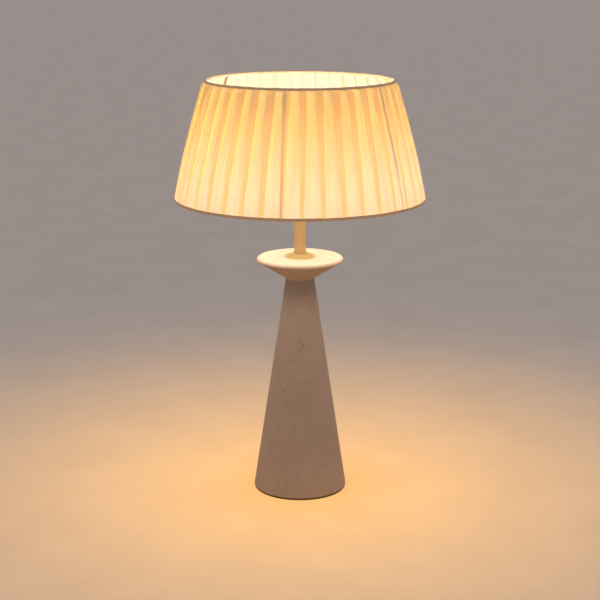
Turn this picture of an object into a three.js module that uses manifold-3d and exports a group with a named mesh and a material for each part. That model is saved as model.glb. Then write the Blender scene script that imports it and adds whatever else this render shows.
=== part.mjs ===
// Table lamp: a tapered cement base with a flared dish, a short painted stem, an E27 lampholder
// with its bulb, and a conical knife-pleated shade on a welded wire frame.
// Millimetres, +Z up, front faces -Y, origin at the centre of the resting face.
import * as THREE from 'three';
import { mergeVertices } from 'three/addons/utils/BufferGeometryUtils.js';
import Module from 'manifold-3d';

const wasm = await Module();
wasm.setup();

// ---- driving dimensions ----
const gap = 0.3; // clearance between neighbouring pieces
const seat = 0.05; // clearance where one flat face rests on another

const baseRadius = 58.6; // foot of the cement cone
const neckRadius = 17.1; // narrowest part, where the dish starts
const neckHeight = 266.6;
const rimRadius = 52.65; // outer edge of the dish
const rimThickness = 4.3;
const dishTop = 292.7;
const padRadius = 56.6;
const padThickness = 2;

const pocketRadius = 34; // hollow under the base for the wiring
const pocketTop = 24;
const inletHeight = 11; // centre of the mains inlet at the back
const inletRadius = 5.3;
const inletRecessDepth = 55; // distance from the axis to the inlet's flat recess

const tubeRadius = 5; // M10 threaded tube that ties the base, stem and lampholder together
const tubeBore = 4;
const stemRadius = 7.25;
const stemTop = 340;
const plateRadius = 18.4;
const plateEdge = 1.2;
const plateRise = 4.2;

const shellRadius = 19.4; // lampholder, outside
const holderBottom = stemTop + seat;
const shadeFlangeTop = stemTop + 29; // shoulder that carries the shade's fitter ring
const shellTop = stemTop + 52;
const bulbBottom = stemTop + 34.8; // contact tip when the bulb is screwed home
const bulbRadius = 30;
const bulbLength = 108;
const capRadius = 13.2; // E27 screw cap

const shadeBottomRadius = 150.7; // outside of the pleats at the lower rim
const shadeTopRadius = 115.6; // outside of the pleats at the upper rim
const shadeBulge = 1.1; // pleats belly out between the rims
const coverThickness = 2.2;
const wireRadius = 1.5; // rings of the shade frame
const hemRadius = 2.2; // cloth hem wrapped round each ring
const bottomRingRadius = 148.5;
const bottomRingHeight = 365.7;
const topRingRadius = 111.5;
const topRingHeight = 504.3;
const ribCount = 6;
const firstRibAngle = -8.2; // degrees from the front, positive towards +X
const ribRadius = 1.2;
const armRadius = 1.8;
const fitterBore = 20.3;
const fitterRadius = 25;
const fitterThickness = 1.8;

const roundSegments = 48; // facets round a large piece
const smallSegments = 24;

// ---- materials ----
const finish = (color, roughness, metalness = 0) =>
  new THREE.MeshStandardMaterial({ color, roughness, metalness });
const cement = finish(0xa08a78, 0.9);
const creamPaint = finish(0xd6b48a, 0.45);
const clothCream = finish(0xf3dfb4, 0.9);
const hemCloth = finish(0xb9a082, 0.9);
const whiteWire = finish(0xc9c2b6, 0.5);
const zincSteel = finish(0xb4b6b8, 0.4, 0.9);
const brass = finish(0xc2a35a, 0.35, 0.9);
const nickel = finish(0xcfccc4, 0.3, 0.95);
const ceramic = finish(0xefece4, 0.4);
const blackPlastic = finish(0x26241f, 0.5);
const whitePlastic = finish(0xe9e4da, 0.45);
const felt = finish(0x2c2926, 0.95);
const opalGlass = finish(0xfff0d2, 0.25);

const lamp = new THREE.Group();

// adds one named piece to the lamp
function add(name, geometry, material, parent = lamp) {
  const mesh = new THREE.Mesh(geometry, material);
  mesh.name = name;
  parent.add(mesh);
  return mesh;
}

// turns a closed (radius, height) outline about the vertical axis
function turned(outline, segments = smallSegments) {
  const points = outline.map(([radius, height]) => new THREE.Vector2(radius, height));
  if (points[0].x > 0) {
    points.push(points[0].clone());
  }
  const geometry = new THREE.LatheGeometry(points, segments);
  geometry.rotateX(Math.PI / 2);
  return geometry;
}

// outline of a tube or ring with a rectangular section
function sleeve(inner, outer, bottom, top) {
  return [[inner, bottom], [outer, bottom], [outer, top], [inner, top]];
}

// outline of a plain disc or rod
function disc(radius, bottom, top) {
  return [[0, bottom], [radius, bottom], [radius, top], [0, top]];
}

// points on an arc of a section, in degrees measured from outwards towards up
function arc(centre, radius, from, to, steps) {
  const points = [];
  for (let i = 0; i <= steps; i += 1) {
    const angle = THREE.MathUtils.degToRad(from + ((to - from) * i) / steps);
    points.push([centre[0] + radius * Math.cos(angle), centre[1] + radius * Math.sin(angle)]);
  }
  return points;
}

// a place at an angle from the front, at a radius and height
function around(degrees, radius, height) {
  const angle = THREE.MathUtils.degToRad(degrees);
  return new THREE.Vector3(radius * Math.sin(angle), -radius * Math.cos(angle), height);
}

// a straight round rod between two points
function rod(start, end, radius, sides = 8) {
  const length = start.distanceTo(end);
  const geometry = new THREE.CylinderGeometry(radius, radius, length, sides);
  const along = end.clone().sub(start).normalize();
  const turn = new THREE.Quaternion().setFromUnitVectors(new THREE.Vector3(0, 1, 0), along);
  geometry.applyQuaternion(turn);
  const middle = start.clone().add(end).multiplyScalar(0.5);
  geometry.translate(middle.x, middle.y, middle.z);
  return geometry;
}

// a round section swept along a smooth curve
function swept(points, radius, steps, sides) {
  const section = new THREE.Shape();
  for (let i = 0; i < sides; i += 1) {
    const angle = (2 * Math.PI * i) / sides;
    const place = [radius * Math.cos(angle), radius * Math.sin(angle)];
    if (i === 0) {
      section.moveTo(...place);
    } else {
      section.lineTo(...place);
    }
  }
  const extrudePath = new THREE.CatmullRomCurve3(points, false, 'centripetal');
  return new THREE.ExtrudeGeometry(section, { steps, extrudePath, bevelEnabled: false });
}

// a geometry as a solid that can be cut
function solidOf(geometry) {
  const bare = geometry.clone();
  bare.deleteAttribute('normal');
  bare.deleteAttribute('uv');
  const merged = mergeVertices(bare, 1e-4);
  const triVerts = [];
  const index = merged.index.array;
  for (let i = 0; i < index.length; i += 3) {
    const [a, b, c] = [index[i], index[i + 1], index[i + 2]];
    if (a !== b && b !== c && c !== a) {
      triVerts.push(a, b, c);
    }
  }
  const vertProperties = new Float32Array(merged.attributes.position.array);
  const mesh = new wasm.Mesh({ numProp: 3, vertProperties, triVerts: new Uint32Array(triVerts) });
  return new wasm.Manifold(mesh);
}

// a cut solid as a geometry again
function geometryOf(solid) {
  const mesh = solid.getMesh();
  const geometry = new THREE.BufferGeometry();
  geometry.setAttribute('position', new THREE.BufferAttribute(mesh.vertProperties, 3));
  geometry.setIndex(new THREE.BufferAttribute(mesh.triVerts, 1));
  const flat = geometry.toNonIndexed();
  flat.computeVertexNormals();
  return flat;
}

// a rod that lies front to back, from one Y to another
function crossRod(radius, from, to, height, sides = smallSegments) {
  return rod(new THREE.Vector3(0, from, height), new THREE.Vector3(0, to, height), radius, sides);
}

// ---- base: cement casting with its inlet, pad and fastenings ----
const coneRadiusAt = (height) => baseRadius - ((baseRadius - neckRadius) * height) / neckHeight;
const footChamfer = 1;
const rimRound = 0.8;
const castingBottom = padThickness + seat;
const casting = turned([
  [pocketRadius, castingBottom],
  [coneRadiusAt(castingBottom) - footChamfer, castingBottom],
  [coneRadiusAt(castingBottom + footChamfer), castingBottom + footChamfer],
  [coneRadiusAt(neckHeight / 2), neckHeight / 2],
  [neckRadius, neckHeight],
  [rimRadius - rimRound, dishTop - rimThickness - rimRound / 2],
  [rimRadius, dishTop - rimThickness + rimRound / 2],
  [rimRadius, dishTop - rimRound],
  [rimRadius - rimRound, dishTop],
  [tubeRadius + gap, dishTop],
  [tubeRadius + gap, pocketTop],
  [pocketRadius, pocketTop],
], roundSegments);
const inletHole = solidOf(crossRod(inletRadius, pocketRadius - 6, baseRadius + 5, inletHeight));
const flangeRadius = 7;
const inletRecess = solidOf(crossRod(flangeRadius + gap, inletRecessDepth, baseRadius + 5, inletHeight));
add('cement_body', geometryOf(solidOf(casting).subtract(inletHole).subtract(inletRecess)), cement);
add('base_pad', turned(disc(padRadius, 0, padThickness), roundSegments), felt);

const grommetBore = 3;
const grommetOutline = [
  ...sleeve(grommetBore, inletRadius - gap, 42, inletRecessDepth + seat).slice(0, 3),
  [flangeRadius, inletRecessDepth + seat],
  [flangeRadius, inletRecessDepth + 1.6],
  [flangeRadius - 1.2, inletRecessDepth + 2.4],
  [grommetBore, inletRecessDepth + 2.4],
];
const grommet = turned(grommetOutline);
grommet.rotateX(-Math.PI / 2);
grommet.translate(0, 0, inletHeight);
add('inlet_grommet', grommet, blackPlastic);

const washerThickness = 2;
const washerBottom = pocketTop - seat - washerThickness;
const nutHeight = 6;
const nutBottom = washerBottom - seat - nutHeight;
const tubeBottom = nutBottom - 2.5;
const tubeTop = stemTop + 16;
add('tie_tube', turned(sleeve(tubeBore, tubeRadius, tubeBottom, tubeTop)), zincSteel);
const washerOutline = sleeve(tubeRadius + gap, 16, washerBottom, washerBottom + washerThickness);
add('base_washer', turned(washerOutline), zincSteel);

const nutAcrossFlats = 17;
const nutOutline = new THREE.Shape();
for (let corner = 0; corner < 6; corner += 1) {
  const angle = (Math.PI / 3) * corner;
  const reach = nutAcrossFlats / Math.sqrt(3);
  const place = [reach * Math.cos(angle), reach * Math.sin(angle)];
  if (corner === 0) {
    nutOutline.moveTo(...place);
  } else {
    nutOutline.lineTo(...place);
  }
}
const nutHole = new THREE.Path();
nutHole.absarc(0, 0, tubeRadius + gap, 0, 2 * Math.PI, true);
nutOutline.holes.push(nutHole);
const nut = new THREE.ExtrudeGeometry(nutOutline, { depth: nutHeight, bevelEnabled: false });
nut.translate(0, 0, nutBottom);
add('base_nut', nut, zincSteel);

// ---- wiring held inside ----
const block = { inner: 16.6, length: 14.5, width: 17, bottom: 12.5, height: 11 };
const blockOutline = new THREE.Shape();
const blockPole = block.width / 4; // each pole is a rounded lobe
blockOutline.moveTo(0, -2 * blockPole);
blockOutline.absarc(block.height - blockPole, -blockPole, blockPole, -Math.PI / 2, Math.PI / 3, false);
blockOutline.absarc(block.height - blockPole, blockPole, blockPole, -Math.PI / 3, Math.PI / 2, false);
blockOutline.lineTo(0, 2 * blockPole);
const blockShape = { depth: block.length, bevelEnabled: false, curveSegments: 5 };
const blockGeometry = new THREE.ExtrudeGeometry(blockOutline, blockShape);
blockGeometry.rotateY(Math.PI / 2); // length along +X, lobes downwards
blockGeometry.translate(block.inner, 0, block.bottom + block.height);
add('terminal_block', blockGeometry, whitePlastic);

const screwPlaces = [];
for (const x of [block.inner + 4, block.inner + block.length - 4]) {
  for (const y of [-blockPole, blockPole]) {
    screwPlaces.push([x, y]);
  }
}
screwPlaces.forEach(([x, y], i) => {
  const screw = turned(disc(1.7, block.bottom - 1.3, block.bottom - 0.1), 12);
  screw.translate(x, y, 0);
  add(`terminal_screw_${i + 1}`, screw, brass);
});

const insertBottom = stemTop + 26;
const leadRadius = 1.1;
for (const [name, side] of [['live_lead', -1], ['neutral_lead', 1]]) {
  const path = [
    [block.inner - gap, 4.2, 16],
    [block.inner - 1.5, 4.2, 16],
    [block.inner - 3, 4.1, 15.4],
    [7, 3, 9.6],
    [2, 1.8, 10.4],
    [0, 1.5, 16],
    [0, 1.5, 60],
    [0, 1.5, stemTop],
    [0, 1.7, tubeTop - 1],
    [0, 4.2, insertBottom - 5],
    [0, 6, insertBottom - gap],
  ];
  const points = path.map(([x, y, z]) => new THREE.Vector3(x, side * y, z));
  add(name, swept(points, leadRadius, 56, 6), side < 0 ? blackPlastic : whitePlastic);
}

// ---- stem and its seat plate ----
const plateBottom = dishTop + seat;
const plateTop = plateBottom + plateRise;
add('seat_plate', turned([
  [tubeRadius + gap, plateBottom],
  [plateRadius, plateBottom],
  [plateRadius, plateBottom + plateEdge],
  [plateRadius - 5.5, plateBottom + plateEdge + 1.3],
  [stemRadius + 1.2, plateTop - 0.2],
  [stemRadius + 0.4, plateTop],
  [tubeRadius + gap, plateTop],
], 40), creamPaint);
add('stem', turned(sleeve(tubeRadius + gap, stemRadius, plateTop + seat, stemTop), 32), creamPaint);

// ---- lampholder ----
const capTop = stemTop + 28;
add('holder_cap', turned([
  [tubeRadius + gap, holderBottom],
  [8.2, holderBottom],
  [9.4, holderBottom + 2],
  [17.4, holderBottom + 8.6],
  [shellRadius, holderBottom + 12.5],
  [shellRadius, capTop - 10],
  [shellRadius - 1.8, capTop - 10],
  [shellRadius - 1.8, holderBottom + 13],
  [15.8, holderBottom + 10.2],
  [8.6, holderBottom + 5],
  [tubeRadius + gap, holderBottom + 5],
]), creamPaint);
const insertRadius = 16.8;
const insertTop = insertBottom + 7;
add('holder_insert', turned(disc(insertRadius, insertBottom, insertTop)), ceramic);
add('centre_contact', turned(disc(3, insertTop + seat, bulbBottom - gap), 16), brass);
const screwSleeveBore = capRadius + 0.4;
add('screw_sleeve', turned([
  [6, insertTop + seat],
  [screwSleeveBore + 0.7, insertTop + seat],
  [screwSleeveBore + 0.7, shellTop - 4],
  [screwSleeveBore, shellTop - 4],
  [screwSleeveBore, insertTop + seat + 0.8],
  [6, insertTop + seat + 0.8],
]), nickel);
const shellBottom = capTop - 10 + seat;
const flangeReach = 23.5;
const threadRadius = shellRadius + 0.5;
add('holder_shell', turned([
  [insertRadius + gap, shellBottom],
  [shellRadius, shellBottom],
  [shellRadius, shadeFlangeTop - 2],
  [flangeReach, shadeFlangeTop - 1.5],
  [flangeReach, shadeFlangeTop],
  [threadRadius, shadeFlangeTop],
  [threadRadius, shellTop - 1],
  [threadRadius - 1, shellTop],
  [screwSleeveBore + 1.2, shellTop],
  [screwSleeveBore + 1.2, insertTop + 1.4],
  [insertRadius + gap, insertTop + 1.4],
]), blackPlastic);

// ---- ring that clamps the shade on the lampholder ----
const clampBottom = shadeFlangeTop + 2 * seat + fitterThickness + seat;
const clampGrip = 24.6;
add('shade_ring', turned([
  [threadRadius + gap, clampBottom],
  [27, clampBottom],
  [27, clampBottom + 2],
  [clampGrip, clampBottom + 2.6],
  [clampGrip, clampBottom + 7],
  [threadRadius + gap, clampBottom + 7],
], 32), blackPlastic);

// ---- bulb ----
const bulbCapBottom = bulbBottom + 6.4;
const bulbCapTop = bulbBottom + 26;
add('bulb_contact', turned([
  [0, bulbBottom],
  [2.2, bulbBottom],
  [4, bulbBottom + 1.2],
  [4, bulbBottom + 1.8],
  [0, bulbBottom + 1.8],
], 16), brass);
add('bulb_insulator', turned([
  [0, bulbBottom + 1.8 + seat],
  [5, bulbBottom + 1.8 + seat],
  [10.6, bulbCapBottom - 0.6],
  [10.6, bulbCapBottom - seat],
  [0, bulbCapBottom - seat],
]), blackPlastic);
add('bulb_cap', turned([
  [9, bulbCapBottom],
  [11.6, bulbCapBottom],
  [capRadius, bulbCapBottom + 1.8],
  [capRadius, bulbCapTop],
  [capRadius - 0.8, bulbCapTop],
  [capRadius - 0.8, bulbCapBottom + 2.2],
  [9, bulbCapBottom + 0.8],
]), nickel);

const bulbCentre = bulbBottom + bulbLength - bulbRadius;
const glassWall = 1;
const neckOuter = capRadius - 0.8 - gap;
const bulbNeck = [
  [neckOuter, bulbCapTop - 6],
  [neckOuter, bulbCapTop + 0.4],
  [14.4, bulbCapTop + 6],
  [18.6, bulbCapTop + 16],
  [24.6, bulbCapTop + 29],
];
const globe = (radius) => arc([0, bulbCentre], radius, -28, 90, 7);
const innerNeck = bulbNeck.map(([radius, height]) => [radius - glassWall, height]).reverse();
add('bulb_glass', turned([
  ...bulbNeck,
  ...globe(bulbRadius),
  ...globe(bulbRadius - glassWall).reverse(),
  ...innerNeck,
  bulbNeck[0],
]), opalGlass);
add('bulb_mount', turned([
  [0, bulbCapTop - 8],
  [9, bulbCapTop - 8],
  [3.6, bulbCapTop + 4],
  [2.4, bulbCentre],
  [0, bulbCentre + 4],
], 16), opalGlass);
const filamentCount = 4;
for (let i = 0; i < filamentCount; i += 1) {
  const angle = 45 + (360 / filamentCount) * i;
  const low = around(angle, 6.5, bulbCentre - 22);
  const high = around(angle, 9, bulbCentre + 12);
  add(`bulb_filament_${i + 1}`, rod(low, high, 0.9, 6), clothCream);
}

// ---- shade frame: two rings, ribs, arms and the fitter ring, welded ----
const shade = new THREE.Group();
lamp.add(shade);
const bottomRing = arc([bottomRingRadius, bottomRingHeight], wireRadius, 0, 300, 5);
const topRing = arc([topRingRadius, topRingHeight], wireRadius, 0, 300, 5);
add('shade_bottom_ring', turned(bottomRing, roundSegments), whiteWire, shade);
add('shade_top_ring', turned(topRing, roundSegments), whiteWire, shade);

// a cloth hem wraps each ring and leaves a narrow slit on the side that faces the axis
function hemOutline(ringRadius, ringHeight) {
  const slit = 20;
  const centre = [ringRadius, ringHeight];
  const outside = arc(centre, hemRadius, slit - 180, 180 - slit, 6);
  const inside = arc(centre, wireRadius + gap, 180 - slit, slit - 180, 6);
  return [...outside, ...inside];
}
const bottomHem = hemOutline(bottomRingRadius, bottomRingHeight);
const topHem = hemOutline(topRingRadius, topRingHeight);
add('shade_bottom_hem', turned(bottomHem, roundSegments), hemCloth, shade);
add('shade_top_hem', turned(topHem, roundSegments), hemCloth, shade);

const fitterBottom = shadeFlangeTop + seat;
const fitter = sleeve(fitterBore, fitterRadius, fitterBottom, fitterBottom + fitterThickness);
add('fitter_ring', turned(fitter, 32), whiteWire, shade);

const coverBottom = bottomRingHeight + hemRadius + gap;
const coverTop = topRingHeight - 1.8;
const coverSteps = 3;
const coverRadiusAt = (share) =>
  shadeBottomRadius + (shadeTopRadius - shadeBottomRadius) * share + 4 * shadeBulge * share * (1 - share);
const coverOutside = [];
for (let i = 0; i <= coverSteps; i += 1) {
  const height = coverBottom + ((coverTop - 2.5 - coverBottom) * i) / coverSteps;
  const share = (height - bottomRingHeight) / (topRingHeight - bottomRingHeight);
  coverOutside.push([coverRadiusAt(share), height]);
}
const shoulder = [[topRingRadius + hemRadius + gap + 0.9, coverTop]];
const coverInside = coverOutside.map(([radius, height]) => [radius - coverThickness, height]).reverse();
const innerShoulder = [[topRingRadius + hemRadius + gap, coverTop]];
const coverOutline = [...coverOutside, ...shoulder, ...innerShoulder, ...coverInside];
add('pleated_cover', turned(coverOutline, roundSegments), clothCream, shade);

const ribInset = coverThickness + gap + ribRadius + 0.6;
const ribFoot = coverBottom + gap;
const ribHead = topRingHeight - hemRadius - gap;
for (let i = 0; i < ribCount; i += 1) {
  const angle = firstRibAngle + (360 / ribCount) * i;
  const foot = around(angle, shadeBottomRadius - ribInset, ribFoot);
  const head = around(angle, topRingRadius + ribRadius / 2, ribHead);
  add(`shade_rib_${i + 1}`, rod(foot, head, ribRadius), whiteWire, shade);
}

const armCount = 3;
for (let i = 0; i < armCount; i += 1) {
  const angle = firstRibAngle + (360 / armCount) * i;
  const inner = around(angle, fitterRadius + gap, fitterBottom + fitterThickness - armRadius);
  const outer = around(angle, bottomRingRadius - hemRadius - gap, bottomRingHeight);
  add(`spider_arm_${i + 1}`, rod(inner, outer, armRadius), whiteWire, shade);
}

export default lamp;
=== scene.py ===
# Table lamp with a cement base and a knife-pleated shade, lit, on a pale studio floor.
# Metres, +Z up, front faces -Y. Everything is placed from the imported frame.
import math

import bmesh
import bpy
import numpy as np
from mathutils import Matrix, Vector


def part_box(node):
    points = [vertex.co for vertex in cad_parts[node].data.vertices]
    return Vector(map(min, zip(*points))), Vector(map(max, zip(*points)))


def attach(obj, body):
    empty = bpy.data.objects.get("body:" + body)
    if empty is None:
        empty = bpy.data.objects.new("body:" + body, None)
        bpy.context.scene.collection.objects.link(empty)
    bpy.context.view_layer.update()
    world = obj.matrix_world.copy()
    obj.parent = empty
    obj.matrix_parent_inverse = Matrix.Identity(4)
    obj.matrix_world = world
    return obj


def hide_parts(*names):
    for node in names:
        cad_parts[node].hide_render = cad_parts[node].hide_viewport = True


mm = 0.001

cameraSettings = {
    "place": (0.0, -1.7204, 0.6622),
    "pitchDown": 13.842,   # degrees
    "lens": 87.06,
    "sensor": 36.0,
    "clip": (0.05, 200.0),
}


def addCamera(values):
    data = bpy.data.cameras.new("camera")
    data.lens = values["lens"]
    data.sensor_width = values["sensor"]
    data.clip_start, data.clip_end = values["clip"]
    camera = bpy.data.objects.new("camera", data)
    camera.location = values["place"]
    camera.rotation_euler = (math.radians(90 - values["pitchDown"]), 0, 0)
    bpy.context.scene.collection.objects.link(camera)
    bpy.context.scene.camera = camera


addCamera(cameraSettings)

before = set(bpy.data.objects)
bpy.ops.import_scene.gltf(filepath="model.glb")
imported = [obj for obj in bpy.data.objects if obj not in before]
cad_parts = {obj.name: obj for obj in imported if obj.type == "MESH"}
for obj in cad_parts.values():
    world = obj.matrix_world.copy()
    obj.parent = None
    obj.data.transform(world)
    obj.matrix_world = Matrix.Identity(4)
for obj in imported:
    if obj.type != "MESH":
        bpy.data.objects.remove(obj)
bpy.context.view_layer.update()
print("frame loaded")


# small helpers for material nodes
def scaled(color, *factors):
    # one factor for the whole color, or one for each channel
    factors = factors * 3 if len(factors) == 1 else factors
    return tuple(min(c * k, 1.0) for c, k in zip(color, factors))


def newMaterial(name):
    material = bpy.data.materials.new(name)
    material.use_nodes = True
    tree = material.node_tree
    tree.nodes.clear()
    return material, tree


def addNode(tree, kind, settings=None, sockets=None):
    node = tree.nodes.new(kind)
    for key, value in (settings or {}).items():
        setattr(node, key, value)
    for key, value in (sockets or {}).items():
        if isinstance(value, bpy.types.NodeSocket):
            tree.links.new(value, node.inputs[key])
        else:
            node.inputs[key].default_value = value
    return node


def addRamp(tree, source, stops):
    ramp = addNode(tree, "ShaderNodeValToRGB")
    elements = ramp.color_ramp.elements
    while len(elements) < len(stops):
        elements.new(0.5)
    for element, (position, color) in zip(elements, stops):
        element.position = position
        element.color = (*color, 1)
    tree.links.new(source, ramp.inputs["Fac"])
    return ramp.outputs["Color"]


def addNoise(tree, vector, scale, detail=4.0, roughness=0.55, stretch=None):
    if stretch:
        mapping = addNode(tree, "ShaderNodeMapping", sockets={"Vector": vector, "Scale": stretch})
        vector = mapping.outputs["Vector"]
    noise = addNode(tree, "ShaderNodeTexNoise", sockets={
        "Vector": vector, "Scale": scale, "Detail": detail, "Roughness": roughness})
    return noise.outputs["Fac"]


def addBump(tree, height, strength, distance, below=None):
    bump = addNode(tree, "ShaderNodeBump", sockets={
        "Strength": strength, "Distance": distance, "Height": height})
    if below is not None:
        tree.links.new(below, bump.inputs["Normal"])
    return bump.outputs["Normal"]


def mixColors(tree, factor, first, second, blend="MIX"):
    mix = addNode(tree, "ShaderNodeMix", {"data_type": "RGBA", "blend_type": blend})
    for socket, value in ((mix.inputs[0], factor), (mix.inputs[6], first), (mix.inputs[7], second)):
        if isinstance(value, bpy.types.NodeSocket):
            tree.links.new(value, socket)
        elif isinstance(value, tuple):
            socket.default_value = (*value, 1)
        else:
            socket.default_value = value
    return mix.outputs[2]


def calculate(tree, operation, *values):
    node = addNode(tree, "ShaderNodeMath", {"operation": operation}, dict(enumerate(values)))
    return node.outputs[0]


def times(tree, first, second):
    return calculate(tree, "MULTIPLY", first, second)


def timesPlus(tree, value, factor, offset):
    return calculate(tree, "MULTIPLY_ADD", value, factor, offset)


def separated(tree, vector):
    return addNode(tree, "ShaderNodeSeparateXYZ", sockets={"Vector": vector}).outputs


def attributeValue(tree, name):
    return addNode(tree, "ShaderNodeAttribute", {"attribute_name": name}).outputs["Fac"]


def finishWith(tree, shader):
    output = addNode(tree, "ShaderNodeOutputMaterial")
    tree.links.new(shader, output.inputs["Surface"])


def addSurface(tree, color=None, normal=None, roughness=None, **values):
    shader = addNode(tree, "ShaderNodeBsdfPrincipled", sockets=values)
    if isinstance(color, tuple):
        color = (*color, 1)
    for name, value in (("Base Color", color), ("Roughness", roughness), ("Normal", normal)):
        if isinstance(value, bpy.types.NodeSocket):
            tree.links.new(value, shader.inputs[name])
        elif value is not None:
            shader.inputs[name].default_value = value
    finishWith(tree, shader.outputs[0])
    return shader


def objectCoordinates(tree):
    return addNode(tree, "ShaderNodeTexCoord").outputs["Object"]


def cloudyMaterial(name, cloud, tones, roughness, relief, bump, **values):
    # a color and a gloss that drift with one noise, and a fine relief from another
    material, tree = newMaterial(name)
    place3d = objectCoordinates(tree)
    drift = addNoise(tree, place3d, *cloud)
    rough = timesPlus(tree, drift, *roughness)
    normal = addBump(tree, addNoise(tree, place3d, *relief), *bump)
    addSurface(tree, addRamp(tree, drift, tones), normal, rough, **values)
    return material


# small helpers for meshes
def link(name, mesh, material):
    item = bpy.data.objects.new(name, mesh)
    bpy.context.scene.collection.objects.link(item)
    if material is not None:
        mesh.materials.clear()
        mesh.materials.append(material)
    return item


def solidFrom(name, shape, angle, material):
    # turns a bmesh into an object, with its faces outwards and its edges sharp beyond that angle
    bmesh.ops.recalc_face_normals(shape, faces=shape.faces)
    data = bpy.data.meshes.new(name)
    shape.to_mesh(data)
    shape.free()
    data.polygons.foreach_set("use_smooth", [True] * len(data.polygons))
    data.set_sharp_from_angle(angle=math.radians(angle))
    return link(name, data, material)


def rounded(outline, radius, steps=4, closed=True):
    # replaces each corner of a (radius, height) outline by a small arc
    result = []
    count = len(outline)
    for i, here in enumerate(outline):
        here = np.array(here, float)
        if not closed and i in (0, count - 1):
            result.append(tuple(here))
            continue
        before = np.array(outline[i - 1], float) - here
        after = np.array(outline[(i + 1) % count], float) - here
        lengths = np.linalg.norm(before), np.linalg.norm(after)
        reach = min(radius, lengths[0] * 0.45, lengths[1] * 0.45)
        start = here + before / lengths[0] * reach
        end = here + after / lengths[1] * reach
        for k in range(steps + 1):
            t = k / steps
            result.append(tuple((1 - t) ** 2 * start + 2 * t * (1 - t) * here + t * t * end))
    return result


def divided(outline, step, closed=True):
    # adds points so that no stretch of the outline is longer than step
    result = []
    ends = outline[1:] + outline[:1] if closed else outline[1:]
    for here, there in zip(outline, ends):
        steps = max(1, math.ceil(math.dist(here, there) / step))
        for k in range(steps):
            t = k / steps
            result.append((here[0] + (there[0] - here[0]) * t, here[1] + (there[1] - here[1]) * t))
    return result if closed else result + [outline[-1]]


def arcPoints(centre, radius, start, end, steps):
    # degrees from +radius towards +height
    angles = [math.radians(start + (end - start) * k / steps) for k in range(steps + 1)]
    return [(centre[0] + radius * math.cos(a), centre[1] + radius * math.sin(a)) for a in angles]


def turned(name, outline, segments, material, closed=True, shift=None, angle=35):
    # turns an outline in millimetres about the Z axis; an open outline starts and ends on the axis
    rings = []
    mesh = bmesh.new()
    angles = [2 * math.pi * k / segments for k in range(segments)]
    for radius, height in outline:
        if radius < 1e-6:
            rings.append([mesh.verts.new((0, 0, height * mm))])
            continue
        ring = []
        for a in angles:
            r, z = (radius, height) if shift is None else shift(radius, height, a)
            ring.append(mesh.verts.new((r * math.sin(a) * mm, -r * math.cos(a) * mm, z * mm)))
        rings.append(ring)
    pairs = list(zip(rings, rings[1:]))
    if closed:
        pairs.append((rings[-1], rings[0]))
    for low, high in pairs:
        for k in range(segments):
            n = (k + 1) % segments
            corners = [low[k % len(low)], low[n % len(low)], high[n % len(high)], high[k % len(high)]]
            corners = list(dict.fromkeys(corners))
            if len(corners) > 2:
                mesh.faces.new(corners)
    return solidFrom(name, mesh, angle, material)


def rod(name, path, radii, sides, material):
    # a closed rod along a list of points in millimetres, with its own radius at each
    mesh = bmesh.new()
    path = [np.array(p, float) for p in path]
    rings = []
    for i, here in enumerate(path):
        along = path[min(i + 1, len(path) - 1)] - path[max(i - 1, 0)]
        along /= np.linalg.norm(along)
        across = np.cross(along, (0, 0, 1) if abs(along[2]) < 0.9 else (0, 1, 0))
        across /= np.linalg.norm(across)
        upright = np.cross(across, along)
        turns = [2 * math.pi * k / sides for k in range(sides)]
        rings.append([mesh.verts.new((here + radii[i] * (math.cos(a) * across + math.sin(a) * upright)) * mm)
                      for a in turns])
    for low, high in zip(rings, rings[1:]):
        for k in range(sides):
            n = (k + 1) % sides
            mesh.faces.new((low[k], low[n], high[n], high[k]))
    mesh.faces.new(rings[0])
    mesh.faces.new(rings[-1])
    return solidFrom(name, mesh, 40, material)


def place(item, body, slot, *nodes):
    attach(item, body)
    if nodes:
        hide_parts(*nodes)
    return item


def boxMm(node):
    low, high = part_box(node)
    return np.array(low) / mm, np.array(high) / mm


def reachOf(node):
    # largest radius, lowest and highest point of a round piece on the Z axis, in millimetres
    low, high = boxMm(node)
    return high[0], low[2], high[2]


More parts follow.
